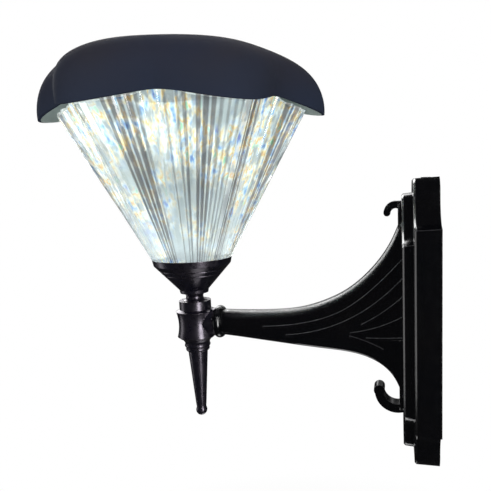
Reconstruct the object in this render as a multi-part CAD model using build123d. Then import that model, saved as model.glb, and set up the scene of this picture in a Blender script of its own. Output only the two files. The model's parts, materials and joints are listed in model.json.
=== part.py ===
from build123d import *
import os
from math import cos, pi, sin

# Solar wall light with a petal cap. Millimetres.
# The wall is the plane Y = 0, the light stands out from it towards -Y, and +Z is up.
# The origin is the centre of the plate's back.
# Lamp pieces are drawn about the Z axis and set on the lamp axis.

# Main places
LAMP_OUT = 176.7            # lamp axis in front of the wall
ARM_Z = -1.7                # arm axis above the plate's centre
HEAD_TURN = 10.8            # degrees, turn of the petals against the arm

# Shared fits
SLIDE_GAP = 0.3             # between faces that move past each other
THREAD_GAP = 0.15           # radial, between a thread or shank and its hole
GUIDE_GAP = 0.08            # radial, between the button and its guide
SEAT_GAP = 0.3              # between a piece and the recess that it drops into
OVERSHOOT = 5.0             # how far a cutting shape runs past the face that it cuts

# Wall plate: a hollow casting in two steps
PLATE_W = 90.0
PLATE_H = 198.9
PLATE_BACK_D = 16.9
PLATE_FRONT_D = 7.4
PLATE_STEP_X = 7.0          # inset of the front step at the sides
PLATE_STEP_Z = 10.2         # inset of the front step at the ends
PLATE_WALL = 3.0
PLATE_SHOULDER = 32.0       # shoulder below the top of a step
PLATE_CREASE = 13.0         # end of the cove below the top of a step
PLATE_NECK_IN = 18.0        # cove end, in from the side of a step
PLATE_CROWN_IN = 26.7       # flat top's end, in from the side of a step
PLATE_COVE = 0.3            # how far the cove's middle stands off the corner behind it, as a share
PLATE_BOW = 0.7             # place of the crown curve's middle between its ends, as a share
PLATE_DRAFT = 0.7           # how much a step draws in towards its front
PLATE_EDGE = 1.2            # bevel of the front edge of each step

# Wall strap behind the plate
STRAP_W = 18.0
STRAP_T = 2.0
STRAP_TAB = 13.0            # depth of the bent ends
WALL_HOLE_R = 2.75
WALL_HOLE_PITCH = 120.0
LOCK_SCREW_R = 2.0
LOCK_SCREW_HEAD_R = 3.6
LOCK_SCREW_HEAD_H = 2.0
LOCK_SCREW_LEN = 8.0
LOCK_SCREW_Y = 8.0          # in front of the wall

# Arm. A section gives its place as a share of the arm's length from the lamp end, its half width,
# its top and bottom from the arm axis, and its corner radius.
# A rib's points give (share, distance from the arm axis).
ARM_SECTIONS = [
    (0.0, 9.4, 9.3, -9.6, 9.2), (0.05, 9.3, 9.0, -10.3, 8.7), (0.1, 9.2, 8.8, -11.0, 8.1),
    (0.2, 9.0, 8.6, -12.6, 7.1), (0.3, 8.8, 8.8, -14.2, 6.2), (0.45, 8.6, 10.7, -16.6, 5.0),
    (0.585, 8.5, 16.0, -18.6, 4.4), (0.7, 8.7, 23.4, -20.4, 4.0), (0.816, 9.6, 35.7, -24.3, 4.0),
    (0.9, 11.0, 48.6, -30.3, 4.0), (0.955, 12.7, 60.8, -38.0, 4.0), (1.0, 15.0, 73.0, -51.5, 4.0),
]
RIB_W = 1.7
RIB_H = 0.9
RIB_LINES = [
    [(0.24, -2.0), (0.45, 0.2), (0.663, 8.5), (0.85, 26.0), (1.0, 46.2)],
    [(0.367, -8.2), (0.55, -4.6), (0.721, 3.9), (0.87, 16.6), (1.0, 33.2)],
    [(0.782, -0.2), (0.89, 8.4), (1.0, 20.6)],
    [(0.72, -6.4), (0.86, -2.2), (1.0, 6.6)],
    [(0.805, -9.8), (0.9, -9.6), (1.0, -8.1)],
    [(0.715, -8.6), (0.8, -12.0), (0.898, -17.6)],
]
PAD_W = 26.0
PAD_T = 2.6
PAD_TOP = 84.0              # above the plate's centre
PAD_LOW = -67.0
TIP_W = 11.0                # width of both curled tips
HOOK_T = 4.8
HOOK_LINE = [(0.0, 80.8), (6.2, 80.3), (8.6, 76.0)]
SCROLL_T = 6.4
SCROLL_LINE = [(0.0, -63.6), (11.5, -60.3), (15.6, -50.5)]
SCROLL_BULB_R = 3.9
ARM_SCREW_R = 2.5
ARM_SCREW_HEAD_R = 4.5
ARM_SCREW_HEAD_H = 3.0
ARM_SCREW_DEPTH = 9.0       # reach into the arm
ARM_SCREW_HEIGHTS = [32.0, -24.0]

# Coupling between arm and lamp
RING_R = 12.0
RING_L = 6.3
BRANCH_R = 10.0
BRANCH_L = 15.5             # from the lamp axis
STUD_R = 4.0
STUD_IN_ARM = 22.0
STUD_IN_BRANCH = 8.0

# Tee, collar and finial, from the arm axis
TEE_RISE = 16.3
TEE_DROP = 12.0
TEE_COLLAR_R = 11.6
TEE_COLLAR_H = 6.5
TEE_FLANGE_R = 14.3
TEE_WAIST_R = 12.8
TEE_LOW_R = 14.1
TEE_EDGE = 1.4              # height of a flange's edge
DROP_H = 10.3
DROP_TOP_R = 12.4
DROP_MID_R = 9.0            # at the lower end of its hollow curve
DROP_END_R = 7.5
DROP_HOLLOW = 0.42          # share of its height in the hollow curve
DROP_BEAD = 0.5             # how far its two beads stand out
FINIAL_L = 51.0
FINIAL_TOP_R = 7.2
FINIAL_END_R = 3.8
FINIAL_BALL_R = 4.2
FINIAL_SOCKET = 9.0

# Threaded stem through the lamp
STEM_R = 5.0
STEM_BORE_R = 3.2
STEM_END_GAP = 0.5
STEM_ABOVE_NUT = 3.0
WASHER_R = 9.5
WASHER_T = 1.2
NUT_FLATS = 15.0
NUT_H = 6.0

# Neck and cup
NECK_H = 5.8
NECK_END_R = 8.8
NECK_WAIST_R = 6.3
CUP_H = 25.9
CUP_RIM_R = 28.8
CUP_BAND_H = 4.5
CUP_BAND_R = 27.8
CUP_LIP_R = 10.2
CUP_WALL = 2.5
CUP_LEDGE_W = 4.0           # seat for the diffuser's foot, level with the band's lower edge
CUP_FLOOR = 6.0
CUP_GROOVE_R = 0.5
CUP_GROOVES = [0.62, 0.8]   # shares of the height between lip and band
SEAL_T = 1.0

# Diffuser: six lobes at the top, round at the foot, reeded outside
PETALS = 6
DIFFUSER_H = 101.9
DIFFUSER_FOOT_R = 28.8
DIFFUSER_LOBE_R = 86.7
DIFFUSER_VALLEY_R = 70.0
DIFFUSER_WALL = 3.0
DIFFUSER_FLOOR = 3.0
REEDS = 60
REED_DEPTH_TOP = 1.5
REED_DEPTH_FOOT = 0.7
FLANGE_T = 2.5
TOP_LIFT = 3.2              # middle of the waved top edge above the diffuser's top
TOP_WAVE = 2.7
UPSTAND_H = 8.0             # rim that rises under the cap, behind its notches
UPSTAND_GAP = 1.3           # from that rim to the cap's notches
COLLAR_R = 52.0
COLLAR_WALL = 2.5
COLLAR_H = 11.5

# Twist lock between diffuser and light engine
LUGS = 3
LUG_ANGLE = 16.0            # degrees
LUG_REACH = 3.6
LUG_T = 2.7
LEDGE_T = 2.5
TWIST = 20.0                # degrees from locked to free
STOP_ANGLE = 3.0
GASKET_T = 1.7
GASKET_W = 5.0

# Cap. The profile gives shares of the cap's height, its petal radius and its wave.
CAP_R = 100.0
CAP_NOTCH_R = 79.0
CAP_H = 40.4                # from the middle of the rim to the flat top
RIM_WAVE = 3.9
RIM_LIFT = 1.5              # middle of the rim above the diffuser's top
CAP_WALL = 2.2
CAP_PROFILE = [
    (-0.15, 1.0, 1.0), (0.124, 1.0, 0.95), (0.272, 0.985, 0.78), (0.552, 0.92, 0.46),
    (0.78, 0.8, 0.24), (0.923, 0.66, 0.1), (0.97, 0.52, 0.03), (1.0, 0.4, 0.0),
]
WAVE_POINTS = 4             # curve points on each petal
PANEL_SIZE = 54.0
PANEL_T = 2.5
PANEL_CORNER = 3.0
PANEL_DEPTH = 3.4           # recess below the flat top
PANEL_FLOOR = 2.0           # cap left under the recess
PANEL_SEAL_T = 0.4
PANEL_SEAL_W = 4.0

# Light engine under the cap
SKIRT_WALL = 2.8
SKIRT_H = 16.5
DECK_T = 3.0
DECK_SCREW_R = 1.5
DECK_SCREW_HEAD_R = 2.8
DECK_SCREW_HEAD_H = 2.2
DECK_SCREW_DEPTH = 9.0
BOSS_R = 4.2
BOSS_OUT = 52.2             # from the lamp axis
BOSS_START = 90.0           # degrees, below a petal
LED_BOARD_R = 26.0
LED_BOARD_T = 1.6
LED_COUNT = 8
LED_SIZE = 5.0
LED_T = 1.1
LED_OUT = 17.0
LENS_WALL = 1.6
LENS_DROP = 7.5
REFLECTOR_R = 48.5
REFLECTOR_DROP = 8.0
REFLECTOR_T = 1.0
REFLECTOR_LAND = 4.5
BUTTON_OUT = 40.0
BUTTON_R = 3.4
BUTTON_L = 12.5
BUTTON_HEAD_R = 4.8
BUTTON_HEAD_H = 1.0
BUTTON_TRAVEL = 1.5
BUTTON_EDGE = 1.1           # rounding of the pressed end
BEZEL_R = 6.0
BEZEL_H = 6.5
SWITCH_SIZE = 6.0
SWITCH_H = 1.9
BOARD_X = [-36.0, 46.0]
BOARD_Y = [-12.0, 22.0]
BOARD_T = 1.6
BOARD_POST_R = 2.4
BOARD_POST_IN = 4.0
CELL_R = 7.1
CELL_L = 50.0
CELL_Y = -28.0
CELL_FLOOR = 2.2
CRADLE_W = 18.0
CRADLE_WALL = 3.5
CRADLE_H = 12.0
CONTACT_T = 2.2
CONTACT_W = 10.0
LEAD_R = 0.7
LEAD_XS = [8.0, 13.0]
LEAD_Y = 5.0

# Heights and places worked out from the values above
PLATE_D = PLATE_BACK_D + PLATE_FRONT_D
BRANCH_END_Y = BRANCH_L - LAMP_OUT
ARM_START_Y = BRANCH_END_Y + RING_L
ARM_LEN = -PLATE_D - ARM_START_Y
TEE_TOP = ARM_Z + TEE_RISE
TEE_LOW = ARM_Z - TEE_DROP
FINIAL_TOP = TEE_LOW - DROP_H
CUP_LIP_Z = TEE_TOP + NECK_H
CUP_RIM_Z = CUP_LIP_Z + CUP_H
FOOT_SEAT_Z = CUP_RIM_Z - CUP_BAND_H
FOOT_Z = FOOT_SEAT_Z + SEAL_T
CUP_SEAT_R = CUP_BAND_R - CUP_WALL
FOOT_R = CUP_SEAT_R - SEAT_GAP
FLOOR_Z = FOOT_Z + DIFFUSER_FLOOR
NUT_Z = FLOOR_Z + WASHER_T
STEM_HOLE_R = STEM_R + THREAD_GAP
HEAD_Z = CUP_RIM_Z + DIFFUSER_H
SKIRT_Z = HEAD_Z + GASKET_T + SLIDE_GAP
LUG_Z = SKIRT_Z + LEDGE_T + SLIDE_GAP
LUG_R = COLLAR_R + LUG_REACH
SKIRT_IN_R = LUG_R + 2 * SLIDE_GAP
SKIRT_R = SKIRT_IN_R + SKIRT_WALL
DECK_TOP = SKIRT_Z + SKIRT_H
DECK_LOW = DECK_TOP - DECK_T
RIM_Z = HEAD_Z + RIM_LIFT
CAP_TOP = RIM_Z + CAP_H
PANEL_SEAT_Z = CAP_TOP - PANEL_DEPTH
BUTTON_HEAD_Z = DECK_TOP + SLIDE_GAP
SWITCH_Z = BUTTON_HEAD_Z + BUTTON_HEAD_H + BUTTON_TRAVEL + SLIDE_GAP
BOARD_Z = SWITCH_Z + SWITCH_H
BOSS_ANGLES = [BOSS_START + 360 / LUGS * i for i in range(LUGS)]

UP = (Align.CENTER, Align.CENTER, Align.MIN)
DOWN = (Align.CENTER, Align.CENTER, Align.MAX)


def post(radius, low, high, x=0.0, y=0.0):
    """An upright cylinder between two heights."""
    return Pos(x, y, low) * Cylinder(radius, high - low, align=UP)


def tube(outer, inner, low, high):
    """An upright ring between two heights."""
    return post(outer, low, high) - post(inner, low - OVERSHOOT, high + OVERSHOOT)


def rod_y(radius, start, end, x=0.0, z=0.0):
    """A cylinder along Y between two places."""
    return Pos(x, start, z) * Rot(-90, 0, 0) * Cylinder(radius, end - start, align=UP)


def turned(*lines):
    """A solid turned about the Z axis from the (radius, height) lines of its closed outline."""
    return revolve(Plane.XZ * make_face(lines), Axis.Z)


def sector(inner, outer, low, high, start, angle):
    """A part of an upright ring between two angles, in degrees from +X."""
    ring = Pos((inner + outer) / 2, (low + high) / 2) * Rectangle(outer - inner, high - low)
    return Rot(0, 0, start) * revolve(Plane.XZ * ring, Axis.Z, revolution_arc=angle)


def on_circle(radius, angle):
    """The x and y of a point at an angle in degrees from +X."""
    turn = angle * pi / 180
    return radius * cos(turn), radius * sin(turn)


def wave_ring(mean, wave, height, lift=0.0):
    """A closed curve with one wave for each petal: its notch lies on +X, where it is narrow and high."""
    count = PETALS * WAVE_POINTS
    points = []
    for i in range(count):
        turn = 2 * pi * i / count
        swing = cos(PETALS * turn)
        radius = mean - wave * swing
        points.append((radius * cos(turn), radius * sin(turn), height + lift * swing))
    return Wire([Edge.make_spline([Vector(*p) for p in points], periodic=True)])


def wavy_face(height, lift):
    """A wavy sheet across the lamp axis, high where the petals meet and low in their middles."""
    near = wave_ring(COLLAR_R / 2, 0.0, height, lift)
    far = wave_ring(2 * CAP_R, 0.0, height, lift)
    return Shell.make_loft([near, far], ruled=True).faces()[0]


def plate_outline(step, inset):
    """The plate's front view: step 0 is the back one, step 1 the front one, moved in by inset."""
    half_w = PLATE_W / 2 - step * PLATE_STEP_X
    half_h = PLATE_H / 2 - step * PLATE_STEP_Z
    side = half_w - inset
    shoulder = half_h - PLATE_SHOULDER - inset
    neck = half_w - PLATE_NECK_IN - inset
    crease = half_h - PLATE_CREASE - inset
    crown = half_w - PLATE_CROWN_IN
    top = half_h - inset
    cove = (neck + PLATE_COVE * (side - neck), shoulder + PLATE_COVE * (crease - shoulder))
    bow = (crown + PLATE_BOW * (neck - crown), crease + PLATE_BOW * (top - crease))
    lines = []
    for x in (1, -1):
        lines.append(Line((x * side, -shoulder), (x * side, shoulder)))
    for z in (1, -1):
        lines.append(Line((-crown, z * top), (crown, z * top)))
        for x in (1, -1):
            lines.append(ThreePointArc((x * side, z * shoulder), (x * cove[0], z * cove[1]),
                                       (x * neck, z * crease)))
            lines.append(ThreePointArc((x * neck, z * crease), (x * bow[0], z * bow[1]),
                                       (x * crown, z * top)))
    return make_face(lines)


def countersunk(reach, gap):
    """A countersunk screw, or its hole, pointing down from the face at height 0."""
    head = Cone(LOCK_SCREW_R + gap, LOCK_SCREW_HEAD_R + gap, LOCK_SCREW_HEAD_H, align=DOWN)
    return head + post(LOCK_SCREW_R + gap, -reach, -LOCK_SCREW_HEAD_H / 2)


def at_plate_ends(shape):
    """Two copies of a piece that points down, one in each end of the plate."""
    top = Pos(0, -LOCK_SCREW_Y, PLATE_H / 2) * shape
    return [top, Rot(0, 180, 0) * top]


def plate_step(step, near, far):
    """One step of the plate, between two distances from the wall, with its front edge bevelled."""
    sections = [
        Plane.XZ.offset(near) * plate_outline(step, 0),
        Plane.XZ.offset(far - PLATE_EDGE) * plate_outline(step, PLATE_DRAFT),
        Plane.XZ.offset(far) * plate_outline(step, PLATE_DRAFT + PLATE_EDGE),
    ]
    return loft(sections, ruled=True)


def wall_plate():
    plate = plate_step(0, 0, PLATE_BACK_D) + plate_step(1, PLATE_BACK_D, PLATE_D)
    inset = PLATE_WALL + PLATE_EDGE / 2
    plate -= extrude(Plane.XZ * plate_outline(0, inset), PLATE_BACK_D - PLATE_WALL)
    plate -= extrude(Plane.XZ * plate_outline(1, inset), PLATE_D - PLATE_WALL)
    for height in ARM_SCREW_HEIGHTS:
        plate -= rod_y(ARM_SCREW_R + THREAD_GAP, -PLATE_D - OVERSHOOT, 0, z=height)
    for hole in at_plate_ends(countersunk(LOCK_SCREW_LEN + OVERSHOOT, THREAD_GAP)):
        plate -= hole
    return plate


def wall_bracket():
    inner_h = PLATE_H - 2 * (PLATE_WALL + PLATE_EDGE / 2 + SEAT_GAP)
    strap = Pos(0, -STRAP_T / 2, 0) * Box(STRAP_W, STRAP_T, inner_h)
    for z in (1, -1):
        strap += Pos(0, -STRAP_TAB / 2, z * (inner_h - STRAP_T) / 2) * Box(STRAP_W, STRAP_TAB, STRAP_T)
        strap -= rod_y(WALL_HOLE_R, -STRAP_T - OVERSHOOT, OVERSHOOT, z=z * WALL_HOLE_PITCH / 2)
    for hole in at_plate_ends(post(LOCK_SCREW_R + THREAD_GAP, -LOCK_SCREW_LEN - OVERSHOOT, 0)):
        strap -= hole
    return strap


def lock_screws():
    return Compound(children=at_plate_ends(countersunk(LOCK_SCREW_LEN, 0.0)))


def arm_y(share):
    """A place along the arm."""
    return ARM_START_Y + share * ARM_LEN


def arm_bar():
    """The arm's bar, smooth through its rounded sections."""
    sections = []
    for share, half, top, low, corner in ARM_SECTIONS:
        shape = Pos(0, ARM_Z + (top + low) / 2) * RectangleRounded(2 * half, top - low, corner)
        sections.append(Plane.XZ.offset(-arm_y(share)) * shape)
    return loft(sections)


def arm_plan_solid(extra):
    """The arm's plan, carried through its whole height, wider by extra on each side."""
    near = [(half + extra, arm_y(share)) for share, half, *rest in ARM_SECTIONS]
    far = [(-half, y) for half, y in near]
    plan = make_face([Spline(*near), Spline(*far), Line(near[0], far[0]), Line(near[-1], far[-1])])
    return extrude(Pos(0, 0, -PLATE_H / 2) * plan, PLATE_H)


def rib_face(line):
    """A narrow band along one rib of the arm, drawn on its side view."""
    middle = [(arm_y(share), ARM_Z + off) for share, off in line]
    upper = [(y, z + RIB_W / 2) for y, z in middle]
    lower = [(y, z - RIB_W / 2) for y, z in middle]
    return make_face([Spline(*upper), Spline(*lower), Line(upper[0], lower[0]), Line(upper[-1], lower[-1])])


def through(face, width):
    """A side view carried to both sides of the plane X = 0."""
    return extrude(Plane.YZ * face, width / 2, both=True)


def arm():
    wide = PLATE_W
    body = arm_bar()
    fat = arm_plan_solid(RIB_H)
    for line in RIB_LINES:
        body += through(rib_face(line), wide) & fat
    pad_middle = (PAD_TOP + PAD_LOW) / 2
    pad = Pos(0, pad_middle) * SlotOverall(PAD_TOP - PAD_LOW, PAD_W, rotation=90)
    body += extrude(Plane.XZ.offset(PLATE_D) * pad, PAD_T)
    for line, thick in ((HOOK_LINE, HOOK_T), (SCROLL_LINE, SCROLL_T)):
        bend = [(-PLATE_D - PAD_T / 2 - out, z) for out, z in line]
        body += through(SlotArc(ThreePointArc(*bend), thick), TIP_W)
    bulb = (-PLATE_D - PAD_T / 2 - SCROLL_LINE[-1][0], SCROLL_LINE[-1][1])
    body += through(Pos(*bulb) * Circle(SCROLL_BULB_R), TIP_W)
    body -= Pos(0, -PLATE_D + OVERSHOOT, 0) * Box(wide, 2 * OVERSHOOT, 2 * PLATE_H)
    stud_end = ARM_START_Y + STUD_IN_ARM + STEM_END_GAP
    body -= rod_y(STUD_R + THREAD_GAP, ARM_START_Y - OVERSHOOT, stud_end, z=ARM_Z)
    for height in ARM_SCREW_HEIGHTS:
        depth = ARM_SCREW_DEPTH + STEM_END_GAP
        body -= rod_y(ARM_SCREW_R + THREAD_GAP, -PLATE_D - depth, -PLATE_D + OVERSHOOT, z=height)
    return body


def arm_screws():
    screws = []
    head_y = PLATE_WALL - PLATE_D
    for height in ARM_SCREW_HEIGHTS:
        shank = rod_y(ARM_SCREW_R, -PLATE_D - ARM_SCREW_DEPTH, head_y, z=height)
        screws.append(shank + rod_y(ARM_SCREW_HEAD_R, head_y, head_y + ARM_SCREW_HEAD_H, z=height))
    return Compound(children=screws)


def arm_ring():
    half = RING_L / 2
    inner = STUD_R + THREAD_GAP
    outline = [
        Line((inner, -half), (BRANCH_R, -half)),
        ThreePointArc((BRANCH_R, -half), (RING_R, 0), (BRANCH_R, half)),
        Line((BRANCH_R, half), (inner, half)),
        Line((inner, half), (inner, -half)),
    ]
    return Pos(0, BRANCH_END_Y + half, ARM_Z) * Rot(-90, 0, 0) * turned(*outline)


def arm_stud():
    return rod_y(STUD_R, BRANCH_END_Y - STUD_IN_BRANCH, ARM_START_Y + STUD_IN_ARM, z=ARM_Z)


def tee():
    collar_z = TEE_TOP - TEE_COLLAR_H
    low_edge = TEE_LOW + TEE_EDGE
    outline = [
        Polyline((0, TEE_LOW), (DROP_TOP_R, TEE_LOW), (TEE_LOW_R, low_edge)),
        ThreePointArc((TEE_LOW_R, low_edge), (TEE_WAIST_R, (low_edge + collar_z) / 2 - TEE_EDGE),
                      (TEE_FLANGE_R, collar_z - TEE_EDGE)),
        Polyline((TEE_FLANGE_R, collar_z - TEE_EDGE), (TEE_COLLAR_R, collar_z), (TEE_COLLAR_R, TEE_TOP),
                 (0, TEE_TOP), (0, TEE_LOW)),
    ]
    body = turned(*outline) + rod_y(BRANCH_R, 0, BRANCH_L, z=ARM_Z)
    body -= post(STEM_HOLE_R, TEE_LOW - OVERSHOOT, TEE_TOP + OVERSHOOT)
    depth = STUD_IN_BRANCH + STEM_END_GAP
    return body - rod_y(STUD_R + THREAD_GAP, BRANCH_L - depth, BRANCH_L + OVERSHOOT, z=ARM_Z)


def drop_collar():
    """A ringed taper: a hollow curve above two beads."""
    hollow_z = TEE_LOW - DROP_H * DROP_HOLLOW
    hollow_r = DROP_MID_R + (DROP_TOP_R - DROP_MID_R) / 4
    crease_z = (hollow_z + FINIAL_TOP) / 2
    crease_r = (DROP_MID_R + DROP_END_R) / 2
    outline = [
        Line((STEM_HOLE_R, TEE_LOW), (DROP_TOP_R, TEE_LOW)),
        ThreePointArc((DROP_TOP_R, TEE_LOW), (hollow_r, (TEE_LOW + hollow_z) / 2), (DROP_MID_R, hollow_z)),
        ThreePointArc((DROP_MID_R, hollow_z), (DROP_MID_R + DROP_BEAD, (hollow_z + crease_z) / 2),
                      (crease_r, crease_z)),
        ThreePointArc((crease_r, crease_z), (crease_r + DROP_BEAD, (crease_z + FINIAL_TOP) / 2),
                      (DROP_END_R, FINIAL_TOP)),
        Polyline((DROP_END_R, FINIAL_TOP), (STEM_HOLE_R, FINIAL_TOP), (STEM_HOLE_R, TEE_LOW)),
    ]
    return turned(*outline)


def finial():
    tip = FINIAL_TOP - FINIAL_L
    ball_z = tip + FINIAL_BALL_R
    neck_z = ball_z + FINIAL_BALL_R
    outline = [
        Line((0, FINIAL_TOP), (FINIAL_TOP_R, FINIAL_TOP)),
        Line((FINIAL_TOP_R, FINIAL_TOP), (FINIAL_END_R, neck_z)),
        Line((FINIAL_END_R, neck_z), (0, neck_z)),
        Line((0, neck_z), (0, FINIAL_TOP)),
    ]
    body = turned(*outline) + Pos(0, 0, ball_z) * Sphere(FINIAL_BALL_R)
    body += post(FINIAL_END_R - THREAD_GAP, ball_z, neck_z)
    return body - post(STEM_HOLE_R, FINIAL_TOP - FINIAL_SOCKET, FINIAL_TOP + OVERSHOOT)


def stem():
    low = FINIAL_TOP - FINIAL_SOCKET + STEM_END_GAP
    return tube(STEM_R, STEM_BORE_R, low, NUT_Z + NUT_H + STEM_ABOVE_NUT)


def lock_washer():
    return tube(WASHER_R, STEM_HOLE_R, FLOOR_Z, NUT_Z)


def lock_nut():
    nut = Pos(0, 0, NUT_Z) * extrude(RegularPolygon(NUT_FLATS / 2, 6, major_radius=False), NUT_H)
    return nut - post(STEM_HOLE_R, NUT_Z - OVERSHOOT, NUT_Z + NUT_H + OVERSHOOT)


def neck_spool():
    middle = (TEE_TOP + CUP_LIP_Z) / 2
    outline = [
        Line((STEM_HOLE_R, TEE_TOP), (NECK_END_R, TEE_TOP)),
        ThreePointArc((NECK_END_R, TEE_TOP), (NECK_WAIST_R, middle), (NECK_END_R, CUP_LIP_Z)),
        Line((NECK_END_R, CUP_LIP_Z), (STEM_HOLE_R, CUP_LIP_Z)),
        Line((STEM_HOLE_R, CUP_LIP_Z), (STEM_HOLE_R, TEE_TOP)),
    ]
    return turned(*outline)


def cup():
    ledge_r = CUP_SEAT_R - CUP_LEDGE_W
    floor_z = CUP_LIP_Z + CUP_FLOOR
    floor_r = STEM_HOLE_R + CUP_WALL
    lip_z = CUP_LIP_Z + CUP_WALL
    outline = [
        Polyline((STEM_HOLE_R, CUP_LIP_Z), (CUP_LIP_R, CUP_LIP_Z), (CUP_LIP_R + CUP_GROOVE_R, lip_z),
                 (CUP_BAND_R, FOOT_SEAT_Z), (CUP_RIM_R, CUP_RIM_Z), (CUP_SEAT_R, CUP_RIM_Z),
                 (CUP_SEAT_R, FOOT_SEAT_Z), (ledge_r, FOOT_SEAT_Z), (floor_r, floor_z),
                 (STEM_HOLE_R, floor_z), (STEM_HOLE_R, CUP_LIP_Z)),
    ]
    body = turned(*outline)
    for share in CUP_GROOVES:
        radius = CUP_LIP_R + CUP_GROOVE_R + share * (CUP_BAND_R - CUP_LIP_R - CUP_GROOVE_R)
        body -= Pos(0, 0, lip_z + share * (FOOT_SEAT_Z - lip_z)) * Torus(radius, CUP_GROOVE_R)
    return body


def diffuser_seal():
    return tube(FOOT_R, FOOT_R - CUP_LEDGE_W + SEAT_GAP, FOOT_SEAT_Z, FOOT_Z)


def reeded_ring(mean, wave, depth, height):
    """The diffuser's outer outline at one height: a lobed ring of rounded reeds."""
    step = 2 * pi / REEDS

    def at(turn, inset):
        radius = mean - wave * cos(PETALS * turn) - inset
        return radius * cos(turn), radius * sin(turn), height

    arcs = []
    for i in range(REEDS):
        turn = i * step
        arcs.append(ThreePointArc(at(turn, depth), at(turn + step / 2, 0.0), at(turn + step, depth)))
    return Wire([arc.edge() for arc in arcs])


def diffuser():
    """A reeded, lobed funnel with a floor, a flange, a rim under the cap's notches and a lugged collar."""
    mean = (DIFFUSER_LOBE_R + DIFFUSER_VALLEY_R) / 2
    wave = (DIFFUSER_LOBE_R - DIFFUSER_VALLEY_R) / 2
    rim_share = 1 + UPSTAND_H / DIFFUSER_H
    rim_mean = DIFFUSER_FOOT_R + (mean - DIFFUSER_FOOT_R) * rim_share
    rim_wave = wave * rim_share
    rim_z = HEAD_Z + UPSTAND_H
    rim_r = CAP_NOTCH_R - CAP_WALL - UPSTAND_GAP
    skin = REED_DEPTH_TOP + DIFFUSER_WALL

    foot = reeded_ring(DIFFUSER_FOOT_R, 0.0, REED_DEPTH_FOOT, CUP_RIM_Z)
    rim = reeded_ring(rim_mean, rim_wave, REED_DEPTH_TOP, rim_z)
    body = Solid.make_loft([foot, rim], ruled=True) + post(FOOT_R, FOOT_Z, CUP_RIM_Z + DIFFUSER_WALL / 2)
    above = Solid.extrude(wavy_face(HEAD_Z + TOP_LIFT, TOP_WAVE), Vector(0, 0, CAP_H))
    body -= above - post(rim_r, HEAD_Z - OVERSHOOT, CAP_TOP + OVERSHOOT)
    inner_foot = wave_ring(FOOT_R - DIFFUSER_WALL, 0.0, FLOOR_Z)
    inner_head = wave_ring(mean - skin, wave, HEAD_Z - FLANGE_T)
    body -= Solid.make_loft([inner_foot, inner_head], ruled=True)
    bowl_low = wave_ring(mean - skin, wave, HEAD_Z)
    bowl_high = wave_ring(rim_mean - skin, rim_wave, rim_z)
    bowl = Solid.make_loft([bowl_low, bowl_high], ruled=True)
    body -= bowl & post(rim_r - DIFFUSER_WALL, HEAD_Z, rim_z + OVERSHOOT)

    body += post(COLLAR_R, HEAD_Z - FLANGE_T, HEAD_Z + COLLAR_H)
    body -= post(COLLAR_R - COLLAR_WALL, HEAD_Z - FLANGE_T - OVERSHOOT, HEAD_Z + COLLAR_H + OVERSHOOT)
    body -= post(STEM_HOLE_R, FOOT_Z - OVERSHOOT, FLOOR_Z + OVERSHOOT)
    for i in range(LUGS):
        start = i * 360 / LUGS - LUG_ANGLE / 2
        body += sector(COLLAR_R - COLLAR_WALL / 2, LUG_R, LUG_Z, LUG_Z + LUG_T, start, LUG_ANGLE)
    return body


def cap_gasket():
    return tube(COLLAR_R + SEAT_GAP + GASKET_W, COLLAR_R + SEAT_GAP, HEAD_Z, HEAD_Z + GASKET_T)


def cap_form(inset):
    """The solid inside the cap's outer face, or inside its wall where inset is the wall."""
    wave = (CAP_R - CAP_NOTCH_R) / 2
    rings = []
    for share_h, share_r, share_w in CAP_PROFILE:
        mean = CAP_R * share_r - wave * share_w
        rings.append(wave_ring(mean - inset, wave * share_w, RIM_Z + CAP_H * share_h - inset))
    return Solid.make_loft(rings)


def rim_cutter():
    """Everything below the scalloped rim."""
    return Solid.extrude(wavy_face(RIM_Z, RIM_WAVE), Vector(0, 0, -CAP_H))


def panel_block(size, low, high):
    """A square plate with rounded corners between two heights."""
    return Pos(0, 0, low) * extrude(RectangleRounded(size, size, PANEL_CORNER), high - low)


def cap():
    outer = cap_form(0.0)
    hollow = cap_form(CAP_WALL) - post(CAP_R, PANEL_SEAT_Z - PANEL_FLOOR, CAP_TOP + OVERSHOOT)
    body = outer - hollow - rim_cutter()
    for angle in BOSS_ANGLES:
        x, y = on_circle(BOSS_OUT, angle)
        boss = post(BOSS_R, DECK_TOP, CAP_TOP, x, y) & outer
        body += boss
        body -= post(DECK_SCREW_R + THREAD_GAP, DECK_TOP - OVERSHOOT,
                     DECK_TOP + DECK_SCREW_DEPTH + STEM_END_GAP, x, y)
    body -= panel_block(PANEL_SIZE + 2 * SEAT_GAP, PANEL_SEAT_Z, CAP_TOP + OVERSHOOT)
    for x in LEAD_XS:
        body -= post(2 * LEAD_R, PANEL_SEAT_Z - PANEL_FLOOR - OVERSHOOT, CAP_TOP, x, LEAD_Y)
    return body


def panel_seal():
    low = PANEL_SEAT_Z
    inner = panel_block(PANEL_SIZE - 2 * PANEL_SEAL_W, low - OVERSHOOT, low + OVERSHOOT)
    return panel_block(PANEL_SIZE, low, low + PANEL_SEAL_T) - inner


def solar_panel():
    low = PANEL_SEAT_Z + PANEL_SEAL_T
    return panel_block(PANEL_SIZE, low, low + PANEL_T)


def panel_leads():
    low = BOARD_Z + BOARD_T
    high = PANEL_SEAT_Z + PANEL_SEAL_T
    return Compound(children=[post(LEAD_R, low, high, x, LEAD_Y) for x in LEAD_XS])


def board_corners():
    """The places of the posts that carry the control board."""
    places = []
    for x in (BOARD_X[0] + BOARD_POST_IN, BOARD_X[1] - BOARD_POST_IN):
        for y in (BOARD_Y[0] + BOARD_POST_IN, BOARD_Y[1] - BOARD_POST_IN):
            places.append((x, y))
    return places


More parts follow.
